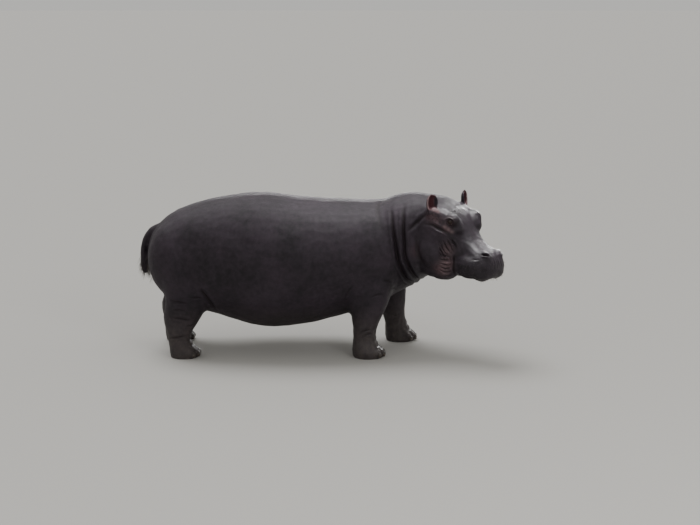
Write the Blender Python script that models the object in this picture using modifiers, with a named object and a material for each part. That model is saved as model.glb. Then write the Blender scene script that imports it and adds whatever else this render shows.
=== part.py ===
"""An adult hippopotamus at life size, standing on all fours with its head low and turned to its right.

Metres, +Z up, nose towards +X. The origin is on the floor under the middle of the bounding box.
The flesh is lofted and blended as one body, and then parted where a person would name its parts.
"""

import math

import bmesh
import bpy
import numpy as np
from mathutils import Euler, Matrix, Vector

# ---------------------------------------------------------------- driving dimensions
BODY_VOXEL = 0.020  # grid on which the trunk and legs are blended
HEAD_VOXEL = 0.011  # finer grid for the head
JOIN_VOXEL = 0.013  # grid on which the head joins the body
BODY_ROUNDS, HEAD_ROUNDS, JOIN_ROUNDS = 20, 7, 3  # rounds of smoothing after each blend
FLESH_FACES = 4000  # triangles of the whole body before it is parted
RING_POINTS = 40  # points round each lofted section
TRUNK_RINGS, NECK_RINGS, LEG_RINGS, SKULL_RINGS = 44, 18, 30, 40  # sections in each loft
HEAD_KEPT = 0.35  # how readily the head is thinned, where the rest is 1
BODY_POWERS = (2.3, 2.2)  # how square a section is above and below its widest point, where 2 is an ellipse
GAP = 0.0004  # clearance between neighbouring pieces
SIDES = (("right", -1.0), ("left", 1.0))

# Trunk sections: x, top, bottom, half width, height of the widest point.
TRUNK = (
    (-1.575, 0.96, 0.78, 0.060, 0.87),
    (-1.545, 1.04, 0.69, 0.150, 0.87),
    (-1.480, 1.14, 0.58, 0.265, 0.87),
    (-1.360, 1.245, 0.48, 0.375, 0.86),
    (-1.150, 1.335, 0.40, 0.460, 0.82),
    (-0.880, 1.400, 0.32, 0.520, 0.78),
    (-0.540, 1.437, 0.225, 0.560, 0.75),
    (-0.200, 1.400, 0.240, 0.565, 0.75),
    (0.120, 1.380, 0.310, 0.530, 0.78),
    (0.420, 1.372, 0.400, 0.470, 0.82),
    (0.620, 1.365, 0.480, 0.420, 0.86),
)
# Masses that fill the trunk out, for the left side: centre, radii.
TRUNK_MASSES = {
    "buttock": ((-1.285, 0.200, 0.860), (0.265, 0.220, 0.350)),
    "shoulder": ((0.380, 0.285, 0.780), (0.260, 0.170, 0.360)),
}
# Neck: a curve on the floor plan that bends towards the head's turn, and sections along it
# as the share of the way: top, bottom, half width, height of the widest point.
NECK_START = Vector((0.40, 0.0))
NECK_BEND = Vector((0.80, 0.0))
NECK_END = Vector((1.06, -0.20))
NECK = (
    (0.00, 1.360, 0.420, 0.400, 0.90),
    (0.22, 1.378, 0.460, 0.390, 0.93),
    (0.34, 1.418, 0.505, 0.382, 0.96),
    (0.44, 1.437, 0.545, 0.372, 0.98),
    (0.58, 1.446, 0.597, 0.357, 1.00),
    (0.78, 1.440, 0.690, 0.325, 1.03),
    (0.91, 1.410, 0.730, 0.255, 1.04),
    (1.00, 1.350, 0.800, 0.200, 1.05),
)

# Head, in its own frame: x from the nape to the nose, y to the left, z up from the palate line.
HEAD_AT = Vector((1.010, -0.120, 1.215))
HEAD_YAW, HEAD_PITCH, HEAD_ROLL = math.radians(-41), math.radians(24), math.radians(-1)
SKULL_POWERS = (2.6, 2.3)  # how square a section is above and below its widest point
# Skull and snout sections: x, top, bottom, half width at the widest, height of the widest.
SKULL = (
    (-0.300, 0.080, -0.240, 0.190, -0.08),
    (-0.180, 0.155, -0.305, 0.270, -0.09),
    (-0.040, 0.205, -0.355, 0.300, -0.10),
    (0.100, 0.222, -0.390, 0.295, -0.12),
    (0.220, 0.207, -0.400, 0.268, -0.13),
    (0.320, 0.165, -0.375, 0.228, -0.11),
    (0.410, 0.112, -0.325, 0.185, -0.09),
    (0.500, 0.072, -0.265, 0.160, -0.07),
    (0.590, 0.052, -0.210, 0.168, -0.08),
    (0.675, 0.040, -0.178, 0.182, -0.09),
    (0.740, 0.018, -0.172, 0.165, -0.09),
    (0.780, -0.025, -0.160, 0.130, -0.10),
    (0.805, -0.070, -0.138, 0.070, -0.11),
)
# Masses that shape the head, in its own frame for the left side: centre, radii, degrees the front is lifted.
HEAD_MASSES = {
    "orbit": ((0.280, 0.163, 0.165), (0.082, 0.050, 0.062), 0),
    "orbit_base": ((0.250, 0.140, 0.110), (0.150, 0.095, 0.090), 0),
    "temple": ((0.170, 0.165, 0.130), (0.130, 0.065, 0.075), 0),
    "cheekbone": ((0.200, 0.178, 0.000), (0.190, 0.078, 0.115), 0),
    "jowl": ((0.160, 0.175, -0.190), (0.240, 0.128, 0.175), 0),
    "jaw_angle": ((0.220, 0.135, -0.305), (0.200, 0.110, 0.125), 14),
    "mandible": ((0.350, 0.130, -0.280), (0.180, 0.090, 0.115), 24),
    "ear_root": ((0.095, 0.212, 0.135), (0.070, 0.060, 0.065), 0),
    "nostril_mound": ((0.680, 0.090, 0.018), (0.062, 0.046, 0.044), 0),
    "lip_flap": ((0.595, 0.130, -0.128), (0.165, 0.085, 0.103), 20),
    "lip_front": ((0.712, 0.085, -0.120), (0.086, 0.100, 0.080), 15),
    "chin": ((0.540, 0.055, -0.185), (0.130, 0.080, 0.045), 24),
}
EYE = Vector((0.292, 0.200, 0.152))
EYE_RADIUS = 0.023
# Where the lower jaw parts from the head: x, z along the mouth and round below it.
JAW_OUTLINE = (
    (1.00, -0.200),
    (0.800, -0.205),
    (0.660, -0.215),
    (0.550, -0.175),
    (0.470, -0.145),
    (0.200, -0.100),
    (-0.500, -0.080),
    (-0.500, -0.900),
    (1.00, -0.900),
)

# Ears: share of the length, half width, depth of the cup, share of the depth that is hollow.
EAR = (
    (-0.25, 0.034, 0.032, 0.05),
    (0.00, 0.042, 0.034, 0.10),
    (0.20, 0.050, 0.036, 0.60),
    (0.50, 0.054, 0.034, 0.76),
    (0.80, 0.047, 0.027, 0.72),
    (0.94, 0.034, 0.017, 0.60),
    (1.00, 0.018, 0.009, 0.40),
)
EAR_BASE = Vector((0.100, 0.248, 0.170))
EAR_LENGTH = 0.135
EAR_WALL = 0.008
EAR_ROLL = 18  # degrees the rim curls in past a half circle
EAR_TURN = (-6, -26, 25)  # roll, pitch and yaw in degrees, for the left ear

# Where the trunk parts from the neck, and the neck from the head: a point and the way forward.
NECK_CUT = ((0.670, 0.0, 0.90), (0.9615, -0.1351, 0.2732))
HEAD_CUT = ((0.810, -0.280, 0.930), (0.719, -0.663, 0.152))

# Legs: stance of each foot on the floor, and the hip or elbow it hangs from.
FOOT_AT = {
    ("fore", "right"): Vector((0.395, -0.330)),
    ("fore", "left"): Vector((0.705, 0.320)),
    ("hind", "right"): Vector((-1.250, -0.330)),
    ("hind", "left"): Vector((-1.370, 0.330)),
}
TOP_AT = {
    ("fore", "right"): Vector((0.430, -0.290)),
    ("fore", "left"): Vector((0.560, 0.290)),
    ("hind", "right"): Vector((-1.230, -0.270)),
    ("hind", "left"): Vector((-1.290, 0.270)),
}
LEG_POWERS = (2.2, 2.2)
# A leg stands straight over its foot up to the first height, and has reached its hip or elbow by the second.
LEAN_FROM, LEAN_TO = 0.08, 0.70
# Leg sections: height, offset forward, half length, half width.
FORELEG = (
    (-0.03, 0.020, 0.120, 0.125),
    (0.02, 0.020, 0.138, 0.138),
    (0.06, 0.015, 0.138, 0.135),
    (0.11, 0.000, 0.118, 0.116),
    (0.17, -0.010, 0.104, 0.102),
    (0.25, -0.010, 0.106, 0.104),
    (0.34, -0.005, 0.130, 0.122),
    (0.44, 0.000, 0.165, 0.145),
    (0.58, 0.000, 0.205, 0.160),
    (0.80, 0.000, 0.230, 0.150),
    (1.00, 0.010, 0.200, 0.110),
)
HINDLEG = (
    (-0.03, 0.025, 0.112, 0.115),
    (0.02, 0.025, 0.130, 0.128),
    (0.06, 0.020, 0.128, 0.124),
    (0.11, -0.005, 0.108, 0.106),
    (0.17, -0.018, 0.103, 0.098),
    (0.22, -0.018, 0.111, 0.100),
    (0.30, -0.008, 0.152, 0.112),
    (0.37, 0.004, 0.176, 0.127),
    (0.45, 0.035, 0.188, 0.142),
    (0.56, 0.055, 0.220, 0.165),
    (0.78, 0.055, 0.270, 0.190),
    (1.00, 0.030, 0.240, 0.150),
)
GROUND = (3.0, 1.0)  # half length and depth of the block that cuts the soles flat

# The doorway-shaped volume that parts a leg from the trunk: half length, inner and outer distance
# from the middle of the body, height of the top.
LEG_CUT = {"fore": (0.245, 0.060, 0.700, 0.74), "hind": (0.300, 0.060, 0.760, 0.80)}
LEG_CUT_BOTTOM = -0.25
LEG_CUT_DOME = 0.55  # share of its height from which the doorway closes
LEG_CUT_POWERS = (3.0, 3.0)

# Four toes to a foot: angle of each from straight ahead, counted outwards, and its size.
TOES = ((-46, 0.90), (-16, 1.05), (15, 1.05), (44, 0.92))
TOE_REACH = {"fore": 0.112, "hind": 0.102}  # from the middle of the foot to the middle of a toe
TOE_RADII = Vector((0.046, 0.034, 0.042))
TOE_HEIGHT = 0.040
TOES_AHEAD = 0.02  # the toes spread from a point this far ahead of the middle of the foot
NAIL_RADII = Vector((0.019, 0.025, 0.026))
NAIL_REACH = 0.036  # from the middle of a toe to the middle of its nail
NAIL_HEIGHT = 0.034

# The tail hangs in the cleft of the rump: x, z, half width sideways, half thickness.
TAIL = (
    (-1.440, 1.115, 0.055, 0.050),
    (-1.520, 1.088, 0.050, 0.042),
    (-1.582, 1.010, 0.046, 0.036),
    (-1.610, 0.920, 0.040, 0.031),
    (-1.608, 0.830, 0.034, 0.035),
    (-1.607, 0.755, 0.028, 0.035),
    (-1.604, 0.700, 0.016, 0.018),
)

# ---------------------------------------------------------------- scene and small helpers


def clear_scene():
    for obj in list(bpy.data.objects):
        bpy.data.objects.remove(obj)


def collection(name):
    made = bpy.data.collections.new(name)
    bpy.context.scene.collection.children.link(made)
    return made


def object_from(bm, name, group):
    """A mesh object of triangles in the group, made from the bmesh, which is freed."""
    bmesh.ops.triangulate(bm, faces=bm.faces)
    bmesh.ops.recalc_face_normals(bm, faces=bm.faces)
    mesh = bpy.data.meshes.new(name)
    bm.to_mesh(mesh)
    bm.free()
    obj = bpy.data.objects.new(name, mesh)
    group.objects.link(obj)
    return obj


def frozen(obj):
    """The object with its modifiers baked into its mesh, in triangles."""
    bpy.context.view_layer.update()
    graph = bpy.context.evaluated_depsgraph_get()
    mesh = bpy.data.meshes.new_from_object(obj.evaluated_get(graph), depsgraph=graph)
    obj.modifiers.clear()
    bm = bmesh.new()
    bm.from_mesh(mesh)
    bmesh.ops.triangulate(bm, faces=bm.faces)
    bm.to_mesh(mesh)
    bm.free()
    obj.data = mesh
    return obj


def drawn_out(stations, count):
    """The station table at count even steps of its first column, on a smooth curve through the rows."""
    table = np.array(stations, float)
    at = table[:, 0]
    slope = np.gradient(table, at, axis=0)
    want = np.linspace(at[0], at[-1], count)
    row = np.clip(np.searchsorted(at, want) - 1, 0, len(at) - 2)
    step = at[row + 1] - at[row]
    t = ((want - at[row]) / step)[:, None]
    step = step[:, None]
    before, after = table[row], table[row + 1]
    return (
        before * (2 * t**3 - 3 * t**2 + 1)
        + slope[row] * step * (t**3 - 2 * t**2 + t)
        + after * (3 * t**2 - 2 * t**3)
        + slope[row + 1] * step * (t**3 - t**2)
    )


def section(half_width, top, bottom, widest, powers=BODY_POWERS, points=RING_POINTS):
    """(sideways, height) round a section: two half superellipses that meet where it is widest."""
    turn = np.linspace(0, 2 * math.pi, points, endpoint=False)
    cosine, sine = np.cos(turn), np.sin(turn)
    power = np.where(sine > 0, *powers)
    reach = np.where(sine > 0, top - widest, widest - bottom)
    side = half_width * np.sign(cosine) * np.abs(cosine) ** (2 / power)
    height = widest + reach * np.sign(sine) * np.abs(sine) ** (2 / power)
    return np.stack([side, height], axis=1)


def loft(name, rings, group):
    """A closed body through rings of equally many points, each end closed by one face."""
    bm = bmesh.new()
    loops = [[bm.verts.new(point) for point in ring] for ring in rings]
    for near, far in zip(loops, loops[1:]):
        for i in range(len(near)):
            j = (i + 1) % len(near)
            bm.faces.new((near[i], near[j], far[j], far[i]))
    bm.faces.new(loops[0])
    bm.faces.new(loops[-1])
    return object_from(bm, name, group)


def ball(name, centre, radii, group, turn=None, frame=Matrix()):
    """An ellipsoid with its centre and turn given in the frame."""
    bm = bmesh.new()
    bmesh.ops.create_uvsphere(bm, u_segments=24, v_segments=16, radius=1.0)
    place = frame @ Matrix.Translation(centre)
    if turn is not None:
        place = place @ turn.to_matrix().to_4x4()
    bm.transform(place @ Matrix.Diagonal((*radii, 1.0)))
    return object_from(bm, name, group)


def mirrored(vector, side):
    """The vector for that side of the body, given for the left."""
    return Vector((vector[0], vector[1] * side, vector[2]))


def head_frame():
    """From the head's own frame to the world."""
    turn = (
        Matrix.Rotation(HEAD_YAW, 4, "Z")
        @ Matrix.Rotation(HEAD_PITCH, 4, "Y")
        @ Matrix.Rotation(HEAD_ROLL, 4, "X")
    )
    return Matrix.Translation(HEAD_AT) @ turn


# ---------------------------------------------------------------- the flesh, as overlapping masses


def trunk_masses(group):
    rings = []
    for x, top, bottom, half_width, widest in drawn_out(TRUNK, TRUNK_RINGS):
        outline = section(half_width, top, bottom, widest)
        rings.append([(x, side, height) for side, height in outline])
    made = [loft("barrel", rings, group)]
    for name, (centre, radii) in TRUNK_MASSES.items():
        for side_name, side in SIDES:
            made.append(ball(f"{name}_{side_name}", mirrored(centre, side), radii, group))
    return made


def neck_masses(group):
    rings = []
    for share, top, bottom, half_width, widest in drawn_out(NECK, NECK_RINGS):
        middle = NECK_START.lerp(NECK_BEND, share).lerp(NECK_BEND.lerp(NECK_END, share), share)
        ahead = (NECK_BEND - NECK_START).lerp(NECK_END - NECK_BEND, share).normalized()
        across = Vector((-ahead.y, ahead.x))
        ring = []
        for side, height in section(half_width, top, bottom, widest):
            spot = middle + across * side
            ring.append((spot.x, spot.y, height))
        rings.append(ring)
    return [loft("neck_core", rings, group)]


def lean(height):
    """How far a leg has leant from its foot to its hip or elbow at a height, from 0 to 1."""
    return min(max((height - LEAN_FROM) / (LEAN_TO - LEAN_FROM), 0.0), 1.0)


def leg_masses(group):
    made = []
    for (end, side_name), foot in FOOT_AT.items():
        stations = FORELEG if end == "fore" else HINDLEG
        top = TOP_AT[end, side_name]
        rings = []
        for height, ahead, half_length, half_width in drawn_out(stations, LEG_RINGS):
            share = lean(height)
            middle = foot.lerp(top, share * share * (3 - 2 * share))
            outline = section(half_width, half_length, -half_length, 0.0, LEG_POWERS)
            rings.append([(middle.x + ahead + along, middle.y + across, height) for across, along in outline])
        made.append(loft(f"limb_{end}_{side_name}", rings, group))
        for number, (place, size) in enumerate(toe_places(end, side_name), 1):
            turn = toe_turn(end, side_name, number)
            made.append(ball(f"toe_{end}_{side_name}_{number}", place, TOE_RADII * size, group, turn))
    return made


def toe_turn(end, side_name, number):
    """How a toe's own frame is turned: x points out of the foot along the toe."""
    outwards = dict(SIDES)[side_name]
    return Euler((0, 0, math.radians(TOES[number - 1][0]) * outwards))


def toe_places(end, side_name, further=0.0, height=TOE_HEIGHT):
    """The middle of each toe of a foot with its size, or a point further out along each toe."""
    foot = FOOT_AT[end, side_name]
    for number, (_, size) in enumerate(TOES, 1):
        out = Vector((TOE_REACH[end] + further, 0, 0))
        out.rotate(toe_turn(end, side_name, number))
        yield Vector((foot.x + TOES_AHEAD + out.x, foot.y + out.y, height)), size


def head_masses(group):
    frame = head_frame()
    rings = []
    for x, top, bottom, half_width, widest in drawn_out(SKULL, SKULL_RINGS):
        outline = section(half_width, top, bottom, widest, SKULL_POWERS)
        rings.append([frame @ Vector((x, side, height)) for side, height in outline])
    made = [loft("skull", rings, group)]
    for name, (centre, radii, lift) in HEAD_MASSES.items():
        for side_name, side in SIDES:
            turn = Euler((0, -math.radians(lift), 0))
            made.append(ball(f"{name}_{side_name}", mirrored(centre, side), radii, group, turn, frame))
    return made


# ---------------------------------------------------------------- blending and parting


def blended(name, masses, voxel, rounds, group):
    """One skin round the masses, on a grid of that size, smoothed that many times."""
    bm = bmesh.new()
    for obj in masses:
        bm.from_mesh(obj.data)
        bpy.data.objects.remove(obj)
    made = object_from(bm, name, group)
    remesh = made.modifiers.new("grid", "REMESH")
    remesh.mode = "VOXEL"
    remesh.voxel_size = voxel
    remesh.adaptivity = 0.0
    smooth = made.modifiers.new("smooth", "SMOOTH")
    smooth.factor = 0.5
    smooth.iterations = rounds
    return frozen(made)


def thinned(obj, faces):
    """The object with about that many triangles, more of them kept on the head than elsewhere."""
    to_head = head_frame().inverted()
    kept = obj.vertex_groups.new(name="kept")
    for vertex in obj.data.vertices:
        on_head = vertex.co.z > 0.55 and (to_head @ vertex.co).x > -0.05
        kept.add([vertex.index], HEAD_KEPT if on_head else 1.0, "REPLACE")
    triangles = sum(len(polygon.vertices) - 2 for polygon in obj.data.polygons)
    decimate = obj.modifiers.new("thin", "DECIMATE")
    decimate.ratio = faces / triangles
    decimate.vertex_group = "kept"
    decimate.vertex_group_factor = 0.02
    decimate.use_collapse_triangulate = True
    return frozen(obj)


def copied(obj, name, group):
    made = bpy.data.objects.new(name, obj.data.copy())
    group.objects.link(made)
    return made


def combine(obj, other, operation):
    """The object after a Boolean with the other, which stays."""
    modifier = obj.modifiers.new(operation.lower(), "BOOLEAN")
    modifier.operation = operation
    modifier.solver = "EXACT"
    modifier.object = other
    return frozen(obj)


def grown(obj, by, group):
    """A copy of the object whose surface lies that much further out."""
    made = copied(obj, f"{obj.name}_grown", group)
    swell = made.modifiers.new("swell", "DISPLACE")
    swell.strength = by
    swell.mid_level = 0.0
    return frozen(made)


def split_by_plane(obj, point, normal, back_name, front_name, group):
    """The object parted in two by a plane, with the gap between them. Returns the back and the front."""
    parts = []
    normal = Vector(normal).normalized()
    for name, keep_front in ((back_name, False), (front_name, True)):
        bm = bmesh.new()
        bm.from_mesh(obj.data)
        shift = normal * (GAP / 2 if keep_front else -GAP / 2)
        geometry = bm.verts[:] + bm.edges[:] + bm.faces[:]
        cut = bmesh.ops.bisect_plane(
            bm,
            geom=geometry,
            dist=1e-7,
            plane_co=Vector(point) + shift,
            plane_no=normal,
            clear_inner=keep_front,
            clear_outer=not keep_front,
        )
        rim = [item for item in cut["geom_cut"] if isinstance(item, bmesh.types.BMEdge)]
        bmesh.ops.contextual_create(bm, geom=rim)
        parts.append(object_from(bm, name, group))
    bpy.data.objects.remove(obj)
    return parts


def extruded(name, outline, half_width, frame, group):
    """A closed prism from (x, z) points of the frame, reaching that far to both sides in y."""
    rings = []
    for side in (-half_width, half_width):
        rings.append([frame @ Vector((x, side, z)) for x, z in outline])
    return loft(name, rings, group)


def parted(obj, cutter, inner_name, group):
    """The object less the cutter, and the piece of it inside the cutter, with the gap between them."""
    inner = combine(copied(obj, inner_name, group), cutter, "INTERSECT")
    outer = combine(obj, grown(cutter, GAP, cutter.users_collection[0]), "DIFFERENCE")
    return outer, inner


# ---------------------------------------------------------------- separate pieces


def leg_cutter(end, side_name, group):
    """A volume that holds one leg: it follows the limb up from the foot and closes in a dome."""
    half_length, inner, outer, top = LEG_CUT[end]
    outwards = dict(SIDES)[side_name]
    foot, hip = FOOT_AT[end, side_name], TOP_AT[end, side_name]
    rings = []
    for share in (0.0, LEG_CUT_DOME, 0.78, 0.92, 1.0):
        height = LEG_CUT_BOTTOM + (top - LEG_CUT_BOTTOM) * share
        closing = max(0.0, (share - LEG_CUT_DOME) / (1 - LEG_CUT_DOME))
        narrow = math.sqrt(max(1.0 - closing**2, 0.02))
        along = foot.lerp(hip, lean(height))
        half_depth = (outer - inner) / 2
        outline = section(half_length * narrow, half_depth, -half_depth, 0.0, LEG_CUT_POWERS, 12)
        middle = (inner + outer) / 2 * outwards
        rings.append([(along.x + ahead, middle + across, height) for ahead, across in outline])
    return loft(f"{end}leg_{side_name}_volume", rings, group)


def make_ear(side_name, group):
    """A cupped leaf: crescent sections along its length, solid at the root, its rim rolled in."""
    side = dict(SIDES)[side_name]
    turn = Euler(mirrored_turn(EAR_TURN, side))
    rings = []
    sweep = np.radians(np.linspace(-EAR_ROLL, 180 + EAR_ROLL, 8))
    for share, half_width, depth, hollow in drawn_out(EAR, 9):
        back = list(zip(-depth * np.sin(sweep), half_width * np.cos(sweep)))
        rim = depth * math.sin(math.radians(EAR_ROLL))
        inner_width = max(half_width - EAR_WALL, 0.3 * half_width)
        cup = rim * (1 - hollow) - depth * hollow * np.sin(sweep)
        across = inner_width * np.cos(np.clip(sweep, 0, math.pi))
        ring = back + list(zip(cup, across))[::-1]
        placed = []
        for ahead, across in ring:
            spot = Vector((ahead, across, share * EAR_LENGTH))
            spot.rotate(turn)
            placed.append(head_frame() @ (mirrored(EAR_BASE, side) + spot))
        rings.append(placed)
    return loft(f"ear_{side_name}", rings, group)


def mirrored_turn(turn, side):
    """The Euler turn for that side of the body, given in degrees for the left."""
    roll, pitch, yaw = (math.radians(value) for value in turn)
    return (roll * side, pitch, yaw * side)


def make_tail(group):
    rings = []
    stations = drawn_out([(i, *row) for i, row in enumerate(TAIL)], 12)
    for number, (_, x, z, half_width, half_depth) in enumerate(stations):
        near = stations[max(number - 1, 0)]
        far = stations[min(number + 1, len(stations) - 1)]
        along = Vector((far[1] - near[1], 0, far[2] - near[2])).normalized()
        out = Vector((along.z, 0, -along.x))
        ring = []
        for angle in np.linspace(0, 2 * math.pi, 10, endpoint=False):
            spot = Vector((x, half_width * math.cos(angle), z)) + out * (half_depth * math.sin(angle))
            ring.append(spot)
        rings.append(ring)
    return loft("tail", rings, group)


def make_eye(side_name, group):
    side = dict(SIDES)[side_name]
    bm = bmesh.new()
    bmesh.ops.create_uvsphere(bm, u_segments=12, v_segments=8, radius=EYE_RADIUS)
    bm.transform(head_frame() @ Matrix.Translation(mirrored(EYE, side)))
    return object_from(bm, f"eye_{side_name}", group)


def make_nails(end, side_name, group):
    made = []
    places = toe_places(end, side_name, NAIL_REACH, NAIL_HEIGHT)
    for number, (place, size) in enumerate(places, 1):
        bm = bmesh.new()
        bmesh.ops.create_uvsphere(bm, u_segments=7, v_segments=5, radius=1.0)
        turn = toe_turn(end, side_name, number).to_matrix().to_4x4()
        bm.transform(Matrix.Translation(place) @ turn @ Matrix.Diagonal((*(NAIL_RADII * size), 1.0)))
        made.append(object_from(bm, f"nail_{end}_{side_name}_{number}", group))
    return made


# ---------------------------------------------------------------- materials


def linear(code):
    """An sRGB hex colour as linear red, green, blue and alpha."""
    channels = [int(code[i : i + 2], 16) / 255 for i in (1, 3, 5)]
    return (*(c / 12.92 if c < 0.04045 else ((c + 0.055) / 1.055) ** 2.4 for c in channels), 1.0)


def material(name, colour, roughness):
    made = bpy.data.materials.new(name)
    made.use_nodes = True
    shader = made.node_tree.nodes["Principled BSDF"]
    shader.inputs["Base Color"].default_value = linear(colour)
    shader.inputs["Roughness"].default_value = roughness
    return made


def dress(obj):
    looks = {
        "eye": ("#1A1310", 0.10),
        "nail": ("#4A4038", 0.45),
        "ear": ("#6A4C4A", 0.60),
        "tail": ("#3F3B3E", 0.60),
    }
    colour, roughness = looks.get(obj.name.split("_")[0], ("#454146", 0.50))
    obj.data.materials.clear()
    obj.data.materials.append(material(f"{obj.name}_surface", colour, roughness))


# ---------------------------------------------------------------- the whole animal


def make_flesh(group):
    """The body and head blended as one, thinned, and cut flat where the feet stand."""
    body_masses = trunk_masses(group) + neck_masses(group) + leg_masses(group)
    body = blended("body", body_masses, BODY_VOXEL, BODY_ROUNDS, group)
    head = blended("head_mass", head_masses(group), HEAD_VOXEL, HEAD_ROUNDS, group)
    flesh = thinned(blended("flesh", [body, head], JOIN_VOXEL, JOIN_ROUNDS, group), FLESH_FACES)
    reach, depth = GROUND
    outline = ((-reach, -depth), (reach, -depth), (reach, 0), (-reach, 0))
    ground = extruded("ground", outline, reach, Matrix(), group)
    combine(flesh, ground, "DIFFERENCE")
    bpy.data.objects.remove(ground)
    return flesh


def build():
    clear_scene()
    animal = collection("Hippopotamus")
    cutters = collection("Cutters")

    trunk, front = split_by_plane(make_flesh(animal), *NECK_CUT, "trunk", "front", animal)
    neck, head = split_by_plane(front, *HEAD_CUT, "neck", "head", animal)
    pieces = [neck]
    for end in ("fore", "hind"):
        for side_name, _ in SIDES:
            cutter = leg_cutter(end, side_name, cutters)
            trunk, leg = parted(trunk, cutter, f"{end}leg_{side_name}", animal)
            for nail in make_nails(end, side_name, animal):
                combine(leg, grown(nail, GAP, cutters), "DIFFERENCE")
                pieces.append(nail)
            pieces.append(leg)

    jaw_volume = extruded("jaw_volume", JAW_OUTLINE, 0.6, head_frame(), cutters)
    head, jaw = parted(head, jaw_volume, "lower_jaw", animal)
    solid_head = grown(head, GAP, cutters)
    for side_name, _ in SIDES:
        pieces.append(combine(make_ear(side_name, animal), solid_head, "DIFFERENCE"))
        eye = make_eye(side_name, animal)
        combine(head, grown(eye, GAP, cutters), "DIFFERENCE")
        pieces.append(eye)
    tail = combine(make_tail(animal), grown(trunk, GAP, cutters), "DIFFERENCE")
    pieces += [trunk, head, jaw, tail]

    corners = np.concatenate([np.array([vertex.co for vertex in obj.data.vertices]) for obj in pieces])
    low, high = corners.min(axis=0), corners.max(axis=0)
    shift = Matrix.Translation((-(low[0] + high[0]) / 2, -(low[1] + high[1]) / 2, 0.0))
    for obj in pieces:
        obj.data.transform(shift)
        dress(obj)
    for obj in cutters.objects:
        obj.hide_render = True
        obj.display_type = "WIRE"


build()
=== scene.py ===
"""The hippopotamus with its skin, eyes, nails and bristles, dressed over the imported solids."""

import math

import bmesh
import bpy
import numpy as np
from mathutils import Matrix, Vector, noise
from mathutils.bvhtree import BVHTree


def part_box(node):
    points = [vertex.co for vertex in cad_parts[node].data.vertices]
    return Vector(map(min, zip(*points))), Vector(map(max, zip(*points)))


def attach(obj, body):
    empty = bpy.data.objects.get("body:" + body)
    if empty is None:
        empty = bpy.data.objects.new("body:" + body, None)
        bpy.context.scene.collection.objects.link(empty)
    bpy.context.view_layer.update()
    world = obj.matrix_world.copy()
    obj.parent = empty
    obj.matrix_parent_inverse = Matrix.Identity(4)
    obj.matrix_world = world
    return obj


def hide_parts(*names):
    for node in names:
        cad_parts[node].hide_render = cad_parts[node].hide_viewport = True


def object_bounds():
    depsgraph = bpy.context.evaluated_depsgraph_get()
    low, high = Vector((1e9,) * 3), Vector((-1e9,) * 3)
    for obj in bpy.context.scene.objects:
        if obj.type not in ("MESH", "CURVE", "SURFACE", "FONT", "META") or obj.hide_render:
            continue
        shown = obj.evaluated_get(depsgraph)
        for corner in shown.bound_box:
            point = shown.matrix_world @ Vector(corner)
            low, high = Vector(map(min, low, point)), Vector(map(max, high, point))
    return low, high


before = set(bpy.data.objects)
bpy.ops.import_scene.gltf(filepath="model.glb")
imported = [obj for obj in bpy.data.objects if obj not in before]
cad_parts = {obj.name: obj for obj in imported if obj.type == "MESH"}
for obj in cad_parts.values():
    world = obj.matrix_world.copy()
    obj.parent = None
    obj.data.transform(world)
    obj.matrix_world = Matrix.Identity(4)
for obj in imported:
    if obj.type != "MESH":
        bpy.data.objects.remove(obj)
CAD_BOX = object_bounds()

SIDES = {"left": 1, "right": -1}
FLESH = [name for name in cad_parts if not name.startswith(("eye_", "nail_"))]

# The head's own axes: x runs out along the snout, y to the animal's left and z out of its forehead.
HEAD_YAW = math.radians(-41)
HEAD_PITCH = math.radians(24)
HEAD_ROLL = math.radians(-1)
# Where the left eye, the left nostril and the root of the left ear lie along those axes.
EYE_IN_HEAD = Vector((0.292, 0.200, 0.152))
NOSTRIL = Vector((0.695, 0.118, 0.047))
EAR_BASE = np.array((0.100, 0.248, 0.170))
EAR_OPENS = np.array((0.82, 0.38, 0.44))  # the way the cup of the left ear faces


def middle(node):
    low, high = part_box(node)
    return (low + high) / 2


def head_matrix():
    """Places the head's axes so that both eyes of the solids sit at EYE_IN_HEAD."""
    turn = Matrix.Rotation(HEAD_YAW, 4, "Z")
    turn = turn @ Matrix.Rotation(HEAD_PITCH, 4, "Y") @ Matrix.Rotation(HEAD_ROLL, 4, "X")
    between_eyes = (middle("eye_left") + middle("eye_right")) / 2
    ahead = turn @ Vector((EYE_IN_HEAD.x, 0, EYE_IN_HEAD.z))
    return Matrix.Translation(between_eyes - ahead) @ turn


HEAD = head_matrix()
HEAD_TURN = np.array(HEAD.to_3x3())
HEAD_ORIGIN = np.array(HEAD.translation)


# ---------------------------------------------------------------- mesh helpers


def points_of(obj):
    flat = np.empty(len(obj.data.vertices) * 3)
    obj.data.vertices.foreach_get("co", flat)
    return flat.reshape(-1, 3)


def normals_of(obj):
    flat = np.empty(len(obj.data.vertices) * 3)
    obj.data.vertex_normals.foreach_get("vector", flat)
    return flat.reshape(-1, 3)


def move_points(obj, points):
    obj.data.vertices.foreach_set("co", points.ravel())
    obj.data.update()


def in_head(points):
    """The same points measured along the head's own axes."""
    return (points - HEAD_ORIGIN) @ HEAD_TURN


def mirrored(points):
    """The points along the head's own axes, with the right side folded on to the left."""
    return in_head(points) * (1, 0, 1) + np.abs(in_head(points)) * (0, 1, 0)


def baked(obj):
    """Applies the object's modifiers to its mesh."""
    depsgraph = bpy.context.evaluated_depsgraph_get()
    mesh = bpy.data.meshes.new_from_object(obj.evaluated_get(depsgraph))
    obj.modifiers.clear()
    obj.data = mesh
    return obj


def modified(obj, kind, **settings):
    step = obj.modifiers.new(kind.title(), kind)
    for key, value in settings.items():
        setattr(step, key, value)
    return baked(obj)


def linked(name, data):
    """An object of this mesh, lamp or camera, placed in the scene."""
    obj = bpy.data.objects.new(name, data)
    bpy.context.scene.collection.objects.link(obj)
    return obj


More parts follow.
